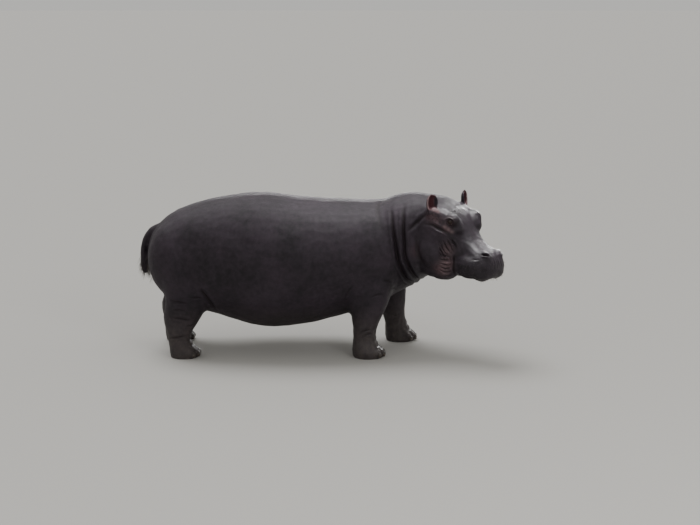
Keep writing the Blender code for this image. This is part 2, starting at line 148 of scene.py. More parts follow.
def object_of(name, shape):
    """A linked object made of a bmesh, which is freed."""
    mesh = bpy.data.meshes.new(name)
    shape.to_mesh(mesh)
    shape.free()
    return linked(name, mesh)


def skin_tree(obj):
    return BVHTree.FromObject(obj, bpy.context.evaluated_depsgraph_get())


def ramp(value, start, end):
    """0 before start, 1 after end, and an even S between them."""
    t = np.clip((value - start) / (end - start), 0, 1)
    return t * t * (3 - 2 * t)


def bell(value, peak, width):
    """1 where the value is at its peak, fading out to 0 at about two widths on either side."""
    return np.exp(-(((value - peak) / width) ** 2))


def blob(points, place, reach):
    """1 at the place, fading out to 0 at about twice the reach."""
    return bell(np.linalg.norm(points - place, axis=1), 0, reach)


# ---------------------------------------------------------------- the base skin

SKIN_VOXEL = 0.0065
INFLATE = 0.0012
EAR_VOXEL = 0.0025
EAR_GAP = 0.007  # how far off the smoothed ear a point of the skin may be and still be laid on it
SMOOTH_STEP = 0.5  # how far of the way each round of smoothing moves a point
HEAD_HEIGHT = 0.55  # the head is all above this
FINE_REACH = 0.07  # how far the finer mesh reaches round the eyes and nostrils
FINEST_REACH = 0.04  # and the finest, round the eyes
SOFT_REACH = 0.08  # how far round both the joins of those meshes are smoothed


def from_nodes(name, nodes):
    """One mesh of these solids, swollen a little so that the thin cuts between them close."""
    shape = bmesh.new()
    for node in nodes:
        shape.from_mesh(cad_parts[node].data)
    bmesh.ops.remove_doubles(shape, verts=shape.verts, dist=1e-6)
    obj = object_of(name, shape)
    move_points(obj, points_of(obj) + INFLATE * normals_of(obj))
    return obj


def softened(obj, amount, rounds):
    """Smooths by `amount`, 0 to 1 at each point, without the shrinking that plain smoothing brings."""
    levels = 10
    group = obj.vertex_groups.new(name="soft")
    steps = np.round(amount * levels).astype(int)
    for level in range(1, levels + 1):
        group.add(np.nonzero(steps == level)[0].tolist(), level / levels, "REPLACE")
    modified(obj, "SMOOTH", factor=SMOOTH_STEP, iterations=rounds, vertex_group="soft")
    once = points_of(obj)
    modified(obj, "SMOOTH", factor=SMOOTH_STEP, iterations=rounds, vertex_group="soft")
    move_points(obj, 2 * once - points_of(obj))
    obj.vertex_groups.clear()


def near_ear(points):
    """1 on the ears and 0 away from them: above their roots, beside the crown and behind the eyes."""
    head = in_head(points)
    above = ramp(head[:, 2], 0.165, 0.190)
    beside = ramp(np.abs(head[:, 1]), 0.205, 0.225)
    behind = 1 - ramp(head[:, 0], 0.150, 0.180)
    return above * beside * behind


def even_ears():
    """Finely meshed, smoothed copies of the ears, which the skin is laid on."""
    trees = {}
    for side in SIDES:
        ear = from_nodes("even_ear", ["ear_" + side])
        modified(ear, "REMESH", mode="VOXEL", voxel_size=EAR_VOXEL)
        softened(ear, np.ones(len(ear.data.vertices)), 10)
        trees[side] = skin_tree(ear)
        bpy.data.objects.remove(ear)
    return trees


def drawn_to_ears(obj, trees):
    """Lays the points on the ears on the smoothed ears, as the coarse mesh leaves them stepped."""
    points = points_of(obj)
    on_ear = near_ear(points)
    left = in_head(points)[:, 1] > 0
    for i in np.nonzero(on_ear > 0.1)[0]:
        place, _, _, gap = trees["left" if left[i] else "right"].find_nearest(Vector(points[i]))
        if gap < EAR_GAP:
            points[i] += min(1, on_ear[i] * 1.5) * (np.array(place) - points[i])
    move_points(obj, points)


def refined(obj, chosen):
    """Splits each face that touches the chosen points into four."""
    shape = bmesh.new()
    shape.from_mesh(obj.data)
    shape.verts.ensure_lookup_table()
    edges = {edge for i in np.nonzero(chosen)[0] for edge in shape.verts[i].link_edges}
    # In the mesh's own order, so that each run numbers the new points alike.
    in_order = sorted(edges, key=lambda edge: edge.index)
    bmesh.ops.subdivide_edges(shape, edges=in_order, cuts=1, use_grid_fill=True)
    shape.to_mesh(obj.data)
    shape.free()


def on_head(points):
    """Chooses the points of the head and ears."""
    return (in_head(points)[:, 0] > 0.0) & (points[:, 2] > HEAD_HEIGHT) | (near_ear(points) > 0.1)


def within(places, reach):
    """Chooses the points that lie within reach of one of these places on either side of the head."""

    def choose(points):
        head = np.abs(in_head(points))
        return np.any([np.linalg.norm(head - place, axis=1) < reach for place in places], axis=0)

    return choose


def base_skin():
    """The smooth skin, with a finer mesh on the head and the finest round the eyes and nostrils."""
    obj = from_nodes("skin", [*FLESH, "eye_left", "eye_right"])
    modified(obj, "REMESH", mode="VOXEL", voxel_size=SKIN_VOXEL, use_smooth_shade=True)
    points = points_of(obj)
    on_trunk = ramp(points[:, 2], 0.25, 0.60) * (1 - ramp(in_head(points)[:, 0], -0.15, 0.10))
    softened(obj, (0.35 + 0.65 * on_trunk) * (1 - near_ear(points)), 60)
    trees = even_ears()
    refined(obj, on_head(points_of(obj)))
    drawn_to_ears(obj, trees)
    softened(obj, on_head(points_of(obj)).astype(float), 3)
    for places, reach in (([EYE_IN_HEAD, NOSTRIL], FINE_REACH), ([EYE_IN_HEAD], FINEST_REACH)):
        refined(obj, within(places, reach)(points_of(obj)))
    refined(obj, near_ear(points_of(obj)) > 0.3)
    drawn_to_ears(obj, trees)
    softened(obj, within([EYE_IN_HEAD, NOSTRIL], SOFT_REACH)(points_of(obj)).astype(float), 4)
    softened(obj, near_ear(points_of(obj)), 2)
    return obj


# ---------------------------------------------------------------- folds, lids and nostrils


class Path:
    """A smooth line through a few places near the skin, laid on the skin itself."""

    def __init__(self, tree, places, count=32):
        knots = [places[0], *places, places[-1]]
        line = [self.between(knots, i / count) for i in range(count + 1)]
        self.points = np.array([tree.find_nearest(place)[0] for place in line])
        steps = np.linalg.norm(np.diff(self.points, axis=0), axis=1)
        self.along = np.concatenate(([0], np.cumsum(steps))) / steps.sum()

    @staticmethod
    def between(knots, share):
        """The place at `share` of the way through the knots, on a Catmull-Rom curve."""
        scaled = min(share, 0.9999) * (len(knots) - 3)
        first = int(scaled)
        t = scaled - first
        a, b, c, d = (Vector(k) for k in knots[first : first + 4])
        square, cube = 2 * a - 5 * b + 4 * c - d, 3 * b - a - 3 * c + d
        return 0.5 * (2 * b + (c - a) * t + square * t * t + cube * t**3)

    def measure(self, points, reach):
        """Which points are within reach of the line, how far off it, and how far along it from 0 to 1."""
        low, high = self.points.min(0) - reach, self.points.max(0) + reach
        near = np.nonzero(((points > low) & (points < high)).all(1))[0]
        best = np.full(len(near), reach)
        share = np.zeros(len(near))
        for start, end, s0, s1 in zip(self.points, self.points[1:], self.along, self.along[1:]):
            edge = end - start
            t = np.clip((points[near] - start) @ edge / max(edge @ edge, 1e-12), 0, 1)
            gap = np.linalg.norm(points[near] - start - t[:, None] * edge, axis=1)
            closer = gap < best
            best[closer] = gap[closer]
            share[closer] = (s0 + t * (s1 - s0))[closer]
        return near, best, share


def head_place(x, y, z):
    """A place given along the head's axes, in the frame."""
    return HEAD @ Vector((x, y, z))


# A fold's parts, as how many of its widths they are from its line.
LIP_PLACE, FADE_START, FOLD_END = 2.1, 3.5, 5
FULL_SHADE_DEPTH = 0.007  # a fold this deep or deeper gets the darkest painted shade


def fold_lift(points, path, width, depth, lip=0.4, fade=0.5):
    """How far the skin sinks along a fold, and rises beside it. It fades out towards both ends."""
    lift = np.zeros(len(points))
    near, gap, share = path.measure(points, FOLD_END * width)
    t = gap / width
    shape = lip * bell(t, LIP_PLACE, 1) - bell(t, 0, 1)
    ends = np.minimum(share, 1 - share) / fade
    lift[near] = depth * shape * ramp(ends, 0, 1) * (1 - ramp(t, FADE_START, FOLD_END))
    return lift


def fold(obj, tree, paths, width, depth, **shape):
    """Sinks each of the paths into the skin as a fold, and paints shade into it, darker where it sinks
    deeper. tree is the surface that they are laid on.
    """
    points = points_of(obj)
    lift = sum(fold_lift(points, Path(tree, places), width, depth, **shape) for places in paths)
    move_points(obj, points + lift[:, None] * normals_of(obj))
    paint_shade(obj, np.clip(-lift / FULL_SHADE_DEPTH, 0, 1))


def paint_shade(obj, amount):
    """Adds to the painted shade on each point, from 0 to 1, which the hide's material paints darker."""
    painted_shade = obj.data.attributes.get("painted_shade") or obj.data.attributes.new("painted_shade", "FLOAT", "POINT")
    before = np.empty(len(amount))
    painted_shade.data.foreach_get("value", before)
    painted_shade.data.foreach_set("value", np.clip(before + amount, 0, 1))


def both_sides(places):
    """The same line on the left and on the right of the head."""
    return [[head_place(x, y * sign, z) for x, y, z in places] for sign in SIDES.values()]


def wandering(lines, amount, seed):
    """The same lines with each place moved a little, so that no two folds are alike."""
    chance = np.random.default_rng(seed)
    return [[tuple(np.array(p) + chance.uniform(-amount, amount, 3)) for p in line] for line in lines]


# Folds of the head, along its own axes, for the left side.
# The soft groove behind the jowl, from under the ear down to the throat.
JOWL_GROOVE = [(.050, .295, .000), (.085, .310, -.080), (.115, .310, -.150), (.155, .300, -.210),
               (.210, .280, -.270), (.280, .240, -.315), (.360, .210, -.330)]
# The deep fold from the root of the ear, back and down towards the neck.
EAR_FOLD = [(.090, .270, .130), (.050, .270, .075), (.035, .305, .010), (.030, .345, -.045),
            (.030, .375, -.090)]
# The hollow that runs from under the ear along the cheekbone and bounds the bag under the eye.
CHEEK_HOLLOW = [(.055, .290, .030), (.100, .280, .035), (.160, .260, .060), (.225, .245, .060),
                (.285, .230, .065), (.335, .210, .065), (.380, .180, .060)]
# The hollow in front of the eye, towards the nose, and how far it reaches and sinks.
EYE_HOLLOW = (.342, .205, .146)
EYE_HOLLOW_REACH, EYE_HOLLOW_DEPTH = 0.027, 0.014
# The diagonal wrinkles between the eye and the corner of the mouth, front to back.
CHEEK_WRINKLES = [
    [(.345, .215, .050), (.380, .200, .020), (.415, .180, -.020), (.430, .172, -.060)],
    [(.325, .225, .025), (.360, .210, -.010), (.400, .190, -.055), (.425, .178, -.085)],
    [(.300, .240, .005), (.335, .225, -.040), (.375, .203, -.080), (.425, .178, -.112)],
    [(.285, .245, -.025), (.315, .232, -.065), (.355, .210, -.105), (.415, .182, -.135)],
    [(.290, .243, -.060), (.320, .236, -.095), (.355, .220, -.130), (.410, .188, -.160)],
    [(.300, .245, -.100), (.330, .242, -.130), (.365, .225, -.155), (.405, .196, -.175)],
]
WRINKLE_SIZES = ((0.0070, 0.0095), (0.0055, 0.0070))  # the width and depth of every other one
# The back edge of the upper lip, and the folds that gather behind it at the corner of the mouth.
LIP_EDGE = [(.430, .175, -.080), (.445, .175, -.125), (.485, .185, -.180), (.500, .170, -.240),
            (.520, .150, -.285)]
CORNER_FOLDS = [
    [(.315, .260, -.130), (.375, .212, -.140), (.425, .178, -.125)],
    [(.335, .250, -.175), (.395, .210, -.178), (.440, .178, -.145)],
    [(.345, .250, -.215), (.415, .202, -.210), (.455, .175, -.165)],
    [(.352, .235, -.243), (.428, .203, -.238), (.475, .178, -.190)],
    [(.360, .222, -.275), (.440, .203, -.268), (.490, .180, -.220)],
    [(.395, .206, -.315), (.460, .190, -.300), (.500, .166, -.255)],
]
# The mouth line under the lip, round the front.
MOUTH = [(.500, .170, -.240), (.580, .175, -.225), (.680, .150, -.220), (.760, .080, -.215),
         (.790, 0, -.212)]
# The crease under the nostril, the nostril's slit, and the upright furrows of the muzzle's front.
UNDER_NOSE = [(.600, .180, -.045), (.650, .165, -.025), (.695, .145, -.005)]
NOSTRIL_SLIT = [(.724, .086, .050), (.700, .112, .050), (.676, .132, .044), (.656, .142, .030)]
FURROWS = [[(.740, y, .050), (.770, y * 0.9, 0), (.790, y * 1.3, -.060)] for y in (.018, .050)]

# Folds of the neck, from the middle of its solid: two deep ones on the side that the head turns to,
# and the soft one behind the crest.
NECK_FOLDS = [
    [(-.205, -.200, .320), (-.205, -.280, .220), (-.200, -.320, .110), (-.185, -.330, .000),
     (-.170, -.330, -.100), (-.140, -.310, -.180), (-.100, -.250, -.280), (-.020, -.130, -.370),
     (.040, .100, -.380)],
    [(-.090, -.200, .350), (-.105, -.280, .270), (-.110, -.320, .165), (-.110, -.330, .080),
     (-.105, -.330, -.040), (-.085, -.320, -.130), (-.050, -.280, -.215), (-.005, -.205, -.290),
     (.050, -.080, -.350), (.080, .070, -.350)],
]
CREST_FOLD = [(-.240, .080, .385), (-.255, -.040, .370), (-.300, -.075, .350), (-.335, -.140, .320),
              (-.345, -.200, .285), (-.335, -.270, .215), (-.320, -.320, .135), (-.310, -.350, .040)]

# Folds of the legs, as how far ahead of the middle of the leg's solid, out from the middle of the body
# and up from the floor.
FORELEG_FOLDS = [
    [(.150, .380, .680), (.205, .350, .660), (.250, .275, .620), (.285, .110, .555)],
    [(.130, .390, .720), (.190, .370, .705), (.240, .310, .680)],
    [(.030, .400, .565), (.105, .390, .587), (.170, .370, .590)],
    [(-.190, .400, .500), (-.170, .420, .600), (-.110, .430, .700)],
    [(-.060, .355, .175), (.015, .375, .220), (.095, .320, .225)],
    [(-.080, .350, .215), (.000, .375, .255), (.080, .340, .265)],
]
HINDLEG_FOLDS = [
    [(-.135, .320, .545), (-.090, .355, .525), (.000, .380, .515), (.075, .380, .490)],
    [(.055, .390, .560), (.105, .385, .555), (.180, .375, .555)],
    [(-.145, .330, .375), (-.045, .370, .370), (.030, .370, .355), (.105, .340, .340)],
    [(.010, .370, .300), (.060, .360, .300), (.110, .320, .310)],
    [(-.110, .340, .440), (-.030, .375, .445), (.040, .380, .430)],
    [(-.120, .300, .170), (-.040, .350, .200), (.060, .330, .210)],
]
# The fold in front of the hind leg, measured as those of the legs are.
FLANK_FOLD = [(.130, .410, .680), (.180, .390, .600), (.210, .370, .550), (.255, .320, .475),
              (.300, .240, .450)]


def fold_head(obj, tree):
    """Every fold of the head: its line, width, depth, the height of its lip and how slowly its ends fade."""
    fold(obj, tree, both_sides(JOWL_GROOVE), 0.022, 0.008, lip=0.2)
    fold(obj, tree, both_sides(EAR_FOLD), 0.015, 0.011, lip=0.2, fade=0.4)
    fold(obj, tree, both_sides(CHEEK_HOLLOW), 0.013, 0.011, lip=0.5)
    fold(obj, tree, both_sides(LIP_EDGE), 0.010, 0.016, lip=0.5, fade=0.35)
    for number, line in enumerate(wandering(CHEEK_WRINKLES, 0.004, 4)):
        width, depth = WRINKLE_SIZES[number % 2]
        fold(obj, tree, both_sides(line), width, depth, lip=0.6, fade=0.45)
    for line in wandering(CORNER_FOLDS, 0.006, 9):
        fold(obj, tree, both_sides(line), 0.0065, 0.009, lip=0.6)
    hollow = blob(mirrored(points_of(obj)), EYE_HOLLOW, EYE_HOLLOW_REACH)
    move_points(obj, points_of(obj) - (EYE_HOLLOW_DEPTH * hollow)[:, None] * normals_of(obj))
    # Painted shade in the hollow in front of the eye.
    paint_shade(obj, 1.6 * hollow)
    fold(obj, tree, both_sides(MOUTH), 0.008, 0.012, lip=0.4, fade=0.25)
    fold(obj, tree, both_sides(UNDER_NOSE), 0.008, 0.003, lip=0.0)
    furrows = wandering(FURROWS, 0.008, 3)
    fold(obj, tree, sum((both_sides(line) for line in furrows), []), 0.007, 0.0032, lip=0.2)
    fold(obj, tree, both_sides(NOSTRIL_SLIT), 0.0085, 0.026, lip=0.25, fade=0.30)


def fold_body(obj, tree):
    """The folds of the neck, the legs and the flanks."""
    neck = middle("neck")
    *deep, soft = ([neck + Vector(p) for p in line] for line in (*NECK_FOLDS, CREST_FOLD))
    fold(obj, tree, deep, 0.014, 0.020, lip=0.45, fade=0.3)
    fold(obj, tree, [soft], 0.020, 0.007, lip=0.1)
    for side, sign in SIDES.items():
        for node, lines, depth in (("foreleg_", FORELEG_FOLDS, 0.006), ("hindleg_", HINDLEG_FOLDS, 0.009)):
            leg = middle(node + side).x
            placed = [[(leg + x, sign * y, z) for x, y, z in line] for line in wandering(lines, 0.004, 5)]
            fold(obj, tree, placed, 0.009, depth, lip=0.4)
        flank = [(middle("hindleg_" + side).x + x, sign * y, z) for x, y, z in FLANK_FOLD]
        fold(obj, tree, [flank], 0.016, 0.014, lip=0.4, fade=0.4)


LONG_SWELL, SHORT_SWELL = 0.15, 0.05
SWELL_HEIGHT = 0.0030


def uneven(obj):
    """Lets the hide lie unevenly, in long and short swells, less on the face and not at the soles."""
    points = points_of(obj)
    calm = 1 - 0.7 * ramp(in_head(points)[:, 0], 0.0, 0.25)
    places = map(Vector, points)
    swell = np.array([noise.noise(p / LONG_SWELL) + 0.35 * noise.noise(p / SHORT_SWELL) for p in places])
    lift = SWELL_HEIGHT * swell * calm * ramp(points[:, 2], 0.02, 0.10)
    move_points(obj, points + lift[:, None] * normals_of(obj))


# The swell of a toe, from the middle of its nail's solid: where, how far it reaches, and how high.
TOE_PLACE, TOE_REACH, TOE_SWELL = (-0.014, 0, 0.014), (0.036, 0.032, 0.036), 0.015
# The groove between two toes, from halfway between their nails, and the creases above the toes, as
# how far over and behind the nails.
TOE_GROOVE = ((-.004, 0, -.024), (-.006, 0, .010), (-.028, 0, .048))
ANKLE_CREASES = ((.078, .045), (.125, .060))


def shape_toes(obj, tree):
    """Swells each toe over its nail, cuts the toes apart and creases the skin above them."""
    points = points_of(obj)
    normals = normals_of(obj)
    lift = np.zeros(len(points))
    gaps, ankles = [], []
    for leg in ("fore_left", "fore_right", "hind_left", "hind_right"):
        toes = [middle(f"nail_{leg}_{number}") for number in range(1, 5)]
        for toe in toes:
            off = (points - np.array(toe) - TOE_PLACE) / TOE_REACH
            lift += TOE_SWELL * np.exp(-(off**2).sum(1))
        for one, other in zip(toes, toes[1:]):
            between = (one + other) / 2
            gaps.append([between + Vector(step) for step in TOE_GROOVE])
        for height, back in ANKLE_CREASES:
            ankles.append([toe + Vector((-back, 0, height)) for toe in toes])
    move_points(obj, points + lift[:, None] * normals)
    fold(obj, tree, gaps, 0.008, 0.012, lip=0.2, fade=0.3)
    fold(obj, tree, ankles, 0.010, 0.006, lip=0.5)


# The eye's opening, as shares of the eyeball's radius along it and up it.
OPENING_LENGTH, OPENING_HEIGHT = 1.02, 0.78
LID_THICKNESS = 0.0030
LID_RIM = 0.0020
LID_BLEND = (0.95, 1.4)  # where the lid runs out into the skin, as shares of the radius
LID_REACH = 0.085  # how far from the eyeball's centre the lids and their folds reach
# The folds round the eye: distance from its middle, width and height, which is negative for a crease.
FOLDS_ABOVE = ((0.0215, 0.0026, -0.0050), (0.0320, 0.0075, 0.0060))
FOLDS_BELOW = ((0.0215, 0.0028, -0.0040), (0.0330, 0.0028, -0.0045))
RECESS_DEPTH = 0.007
SOCKET_DEPTH = 0.30  # how far behind the eyeball's middle the skin in the opening lies, in radii


def make_lids(obj):
    """Opens the skin over each eyeball, with thick lid rims and folds above and below, and paints shade
    round it.
    """
    points = points_of(obj)
    dark = np.zeros(len(points))
    for centre, radius, outward, ahead, up in EYES.values():
        offset = points - centre
        near = np.nonzero((np.linalg.norm(offset, axis=1) < LID_REACH) & (offset @ outward > -0.02))[0]
        a, b, h = offset[near] @ ahead, offset[near] @ up, offset[near] @ outward
        across = np.hypot(a, b)
        # The opening is an oval whose ends turn down a little; it is 1 on its edge.
        bent = b + 0.001 + 6 * a * a
        opening = np.hypot(a / (OPENING_LENGTH * radius), bent / (OPENING_HEIGHT * radius))
        lid = np.sqrt(np.clip((radius + LID_THICKNESS) ** 2 - across**2, 0, None))
        inner, outer = (share * radius for share in LID_BLEND)
        new = h + np.clip(lid - h, 0, None) * (1 - ramp(across, inner, outer))
        new += LID_RIM * bell(opening, 1.25, 0.22)
        oval = np.hypot(a / 1.3, b)
        for folds, share in ((FOLDS_ABOVE, ramp(b, -0.006, 0.012)), (FOLDS_BELOW, ramp(-b, -0.004, 0.014))):
            for place, width, height in folds:
                new += height * bell(oval, place, width) * share
        # A hollow in front of the eye, towards the nose.
        recess = bell(a, 0.041, 0.016) * bell(b, 0.002, 0.024)
        new -= RECESS_DEPTH * recess
        new = np.where(opening < 1, -SOCKET_DEPTH * radius, new)
        points[near] += (new - h)[:, None] * outward
        # Painted shade: at the lids' edges, in the hollow in front of the eye and in a ring round it.
        dark[near] = bell(opening, 1.1, 0.45) + recess + 0.5 * (1 - ramp(oval, 0.030, 0.055))
    move_points(obj, points)
    paint_shade(obj, dark)


def eye_axes(points, normals, side):
    """The eyeball's centre and radius, and the way it looks out, forward and up."""
    low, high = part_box("eye_" + side)
    centre = np.array((low + high) / 2)
    radius = (high - low).x / 2
    # The eye looks straight out of the ring of skin round it.
    gap = np.linalg.norm(points - centre, axis=1)
    outward = normals[(gap > 0.030) & (gap < 0.065)].mean(0)
    outward /= np.linalg.norm(outward)
    ahead = HEAD_TURN[:, 0] - outward * (outward @ HEAD_TURN[:, 0])
    ahead /= np.linalg.norm(ahead)
    up = np.cross(outward, ahead)
    return centre, radius, outward, ahead, up * np.sign(up @ HEAD_TURN[:, 2])


skin = base_skin()
uneven(skin)
smooth_skin = skin_tree(skin)
fold_head(skin, smooth_skin)
fold_body(skin, smooth_skin)
shape_toes(skin, smooth_skin)
EYES = {side: eye_axes(points_of(skin), normals_of(skin), side) for side in SIDES}
make_lids(skin)
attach(skin, "root")
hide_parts(*FLESH)


# ---------------------------------------------------------------- tints the hide reads from its points


def tint(obj, name, values):
    """Keeps a number from 0 to 1 on each point, for the hide's material to read."""
    layer = obj.data.attributes.get(name) or obj.data.attributes.new(name, "FLOAT", "POINT")
    layer.data.foreach_set("value", np.clip(values, 0, 1))


# Where the hide is thin and pink: place along the head's axes, reach, strength.
PINK_PLACES = (
    (EYE_IN_HEAD, 0.040, 0.40),
    ((.290, .230, .085), 0.030, 0.50),
    ((.180, .235, .115), 0.060, 0.35),
    ((.110, .250, .120), 0.045, 0.40),
    ((.425, .190, -.190), 0.055, 0.60),
    ((.380, .215, -.270), 0.055, 0.60),
    ((.370, .210, -.060), 0.055, 0.35),
    ((.130, .310, -.220), 0.050, 0.25),
)
# Where a highlight is painted on: on the bag under the eye, and on the ridges at the corner of the mouth.
PAINTED_HIGHLIGHT_PLACES = (
    ((.275, .235, .100), 0.018, 0.45),
    ((.315, .222, .095), 0.018, 0.55),
    ((.345, .205, .090), 0.018, 0.45),
    ((.375, .205, -.090), 0.045, 0.25),
    ((.400, .210, -.200), 0.045, 0.32),
    ((.430, .200, -.270), 0.040, 0.34),
)


def tint_skin(obj):
    """Marks where the hide is pink, flushed with blood, wet and dusty, and where highlight and shade are
    painted on it.
    """
    points = points_of(obj)
    normals = normals_of(obj) @ HEAD_TURN
    head = in_head(points)
    folded = mirrored(points)
    ear = near_ear(points)
    fold_over = np.sign(head[:, 1])[:, None] * (0, 1, 0) + (1, 0, 1)
    facing = (normals * fold_over) @ EAR_OPENS
    rim = ear * ramp((folded - EAR_BASE) @ EAR_OPENS, -0.002, 0.006)
    inside_ear = ear * ramp(facing, 0.05, 0.50) * (1 - rim)
    pink = 0.9 * inside_ear + 0.9 * rim + 0.25 * ear
    for place, reach, strength in PINK_PLACES:
        pink = pink + strength * blob(folded, place, reach)
    tint(obj, "pink", pink)
    # Painted highlight on the rims of the ears.
    painted_highlight = 0.9 * rim
    for place, reach, strength in PAINTED_HIGHLIGHT_PLACES:
        painted_highlight = painted_highlight + strength * blob(folded, place, reach)
    tint(obj, "painted_highlight", painted_highlight)
    tint(obj, "flushed", 0.85 * inside_ear + 0.25 * ear * (1 - rim) + 0.5 * blob(folded, EYE_IN_HEAD, 0.030))
    # Painted shade inside the cup of the ear.
    paint_shade(obj, 0.35 * inside_ear)
    # Water lies on what faces up, most of all on the head, which comes out of it last.
    upward = ramp(normals_of(obj)[:, 2], 0.25, 0.95)
    on_face = ramp(head[:, 0], 0.02, 0.20)
    brow = blob(folded, (.310, .190, .215), 0.045)
    tint(obj, "wet", upward * (0.04 + 0.71 * on_face) + 0.25 * on_face + 0.8 * brow)
    tint(obj, "dust", 1 - ramp(points[:, 2], 0.10, 0.55))


tint_skin(skin)


# ---------------------------------------------------------------- materials


def linear(code):
    """An sRGB hex colour as linear RGBA."""
    parts = [int(code[i : i + 2], 16) / 255 for i in (1, 3, 5)]
    return (*(p / 12.92 if p <= 0.04045 else ((p + 0.055) / 1.055) ** 2.4 for p in parts), 1)


def add(tree, kind, settings=None, links=None):
    """Adds a node. settings are its own properties or its sockets' values, links its inputs' sources."""
    node = tree.nodes.new("ShaderNode" + kind)
    for key, value in (settings or {}).items():
        if isinstance(key, str) and hasattr(node, key):
            setattr(node, key, value)
        else:
            node.inputs[key].default_value = value
    for key, source in (links or {}).items():
        tree.links.new(source, node.inputs[key])
    return node


def new_material(name, **settings):
    """A Principled material with these values on the shader's own sockets."""
    material = bpy.data.materials.new(name)
    material.use_nodes = True
    shader = material.node_tree.nodes["Principled BSDF"]
    for key, value in settings.items():
        shader.inputs[key.replace("_", " ")].default_value = value
    return material, material.node_tree, shader


def per_metre(millimetres):
    """The texture scale that gives a pattern of this size."""
    return 1000 / millimetres


def object_place(tree):
    return add(tree, "TexCoord").outputs["Object"]


def noise_of(tree, place, millimetres, detail, **more):
    """Noise in blots of about this size."""
    settings = {"Scale": per_metre(millimetres), "Detail": detail, **more}
    return add(tree, "TexNoise", settings, {"Vector": place})


def measured(tree, name):
    """The number that `tint` keeps on each point under this name."""
    return add(tree, "Attribute", {"attribute_name": name}).outputs["Fac"]


def mapped(tree, value, low=0.0, high=1.0, to_low=0.0, to_high=1.0):
    """The value carried over from one range on to another, and held inside it."""
    settings = {"From Min": low, "From Max": high, "To Min": to_low, "To Max": to_high}
    return add(tree, "MapRange", settings, {"Value": value}).outputs[0]


def ramped(tree, value, *stops):
    """The colour for the value, between stops of a position and a colour."""
    node = add(tree, "ValToRGB", {}, {"Fac": value})
    band = node.color_ramp
    for number, (position, code) in enumerate(stops):
        stop = band.elements[number] if number < 2 else band.elements.new(position)
        stop.position = position
        stop.color = linear(code)
    return node.outputs["Color"]


def stained(tree, colour, share, stain):
    """The colour turned to the stain by a share."""
    return add(tree, "Mix", {"data_type": "RGBA", 7: linear(stain)}, {0: share, 6: colour}).outputs[2]


def product(tree, one, other, clamped=False):
    """Two numbers multiplied, and held between 0 and 1 where clamped."""
    settings = {"operation": "MULTIPLY", "use_clamp": clamped}
    return add(tree, "Math", settings, {0: one, 1: other}).outputs[0]


def roughened(tree, shader, height, strength, distance):
    """Bumps the shader's surface by the height, and returns the bump."""
    bump = add(tree, "Bump", {"Strength": strength, "Distance": distance}, {"Height": height}).outputs[0]
    tree.links.new(bump, shader.inputs["Normal"])
    return bump


def hippo_hide():
    """Bare hippopotamus hide, damp from the water: slate grey with an aubergine cast, pink where it is thin.

    Its surface is a net of fine cracks over small pores, under a thin film of water and sweat.
    """
    material, tree, shader = new_material("damp_hippo_hide", IOR=1.36, Coat_Roughness=0.16)
    place = object_place(tree)
    # Broad cloudy patches and finer mottling, as grease and dried mud leave.
    cloud = noise_of(tree, place, 300, 3).outputs[0]
    mottle = noise_of(tree, place, 40, 4, Roughness=0.6).outputs[0]
    tone = add(tree, "Mix", {"data_type": "FLOAT", 0: 0.45}, {2: cloud, 3: mottle}).outputs[0]
    grey = ramped(tree, tone, (0.36, "#19141A"), (0.64, "#302730"))
    colour = stained(tree, grey, product(tree, measured(tree, "dust"), mottle), "#4A443F")
    flush = mapped(tree, noise_of(tree, place, 18, 3).outputs[0], 0.30, 0.62, 0.25)
    colour = stained(tree, colour, product(tree, measured(tree, "pink"), flush, clamped=True), "#6A5054")
    # Painted highlight on the ears' rims, the bag under the eye and the ridges at the corner of the mouth.
    colour = stained(tree, colour, measured(tree, "painted_highlight"), "#836E70")
    colour = stained(tree, colour, measured(tree, "flushed"), "#42161F")
    # Painted shade, darkest in the folds, the hollows, round the eyes and inside the ears.
    colour = stained(tree, colour, mapped(tree, measured(tree, "painted_shade"), to_high=0.70), "#150B0F")
    # The crack net: coarse cells between shallow lines, with finer cells inside them.
    bend = noise_of(tree, place, 60, 2).outputs["Color"]
    sway = add(tree, "VectorMath", {"operation": "SCALE", "Scale": 0.02}, {0: bend})
    swayed = add(tree, "VectorMath", {"operation": "ADD"}, {0: place, 1: sway.outputs[0]}).outputs[0]

    def from_crack(millimetres):
        settings = {"feature": "DISTANCE_TO_EDGE", "Scale": per_metre(millimetres)}
        return add(tree, "TexVoronoi", settings, {"Vector": swayed}).outputs["Distance"]

    net, fine = from_crack(15), from_crack(6)
    # Painted shade along the crack lines, where the hide is darker.
    colour = stained(tree, colour, mapped(tree, net, 0, 0.06, 0.22, 0), "#120F11")
    tree.links.new(colour, shader.inputs["Base Color"])
    pores = noise_of(tree, place, 5, 3).outputs[0]
    relief = mapped(tree, net, 0, 0.10)
    for finer, share in ((mapped(tree, fine, 0, 0.14), 0.45), (pores, 0.8)):
        relief = add(tree, "Math", {"operation": "MULTIPLY_ADD", 1: share}, {0: finer, 2: relief}).outputs[0]
    bump = roughened(tree, shader, relief, 0.50, 0.0011)
    # Dry hide is dull. The film of water lies in patches, where it is nearly smooth.
    patch = mapped(tree, noise_of(tree, place, 80, 4).outputs[0], 0.32, 0.66, 0.25)
    soaked = product(tree, measured(tree, "wet"), patch)
    tree.links.new(mapped(tree, soaked, to_low=0.64, to_high=0.16), shader.inputs["Roughness"])
    tree.links.new(mapped(tree, soaked, to_low=0.02, to_high=0.45), shader.inputs["Coat Weight"])
    tree.links.new(bump, shader.inputs["Coat Normal"])
    return material


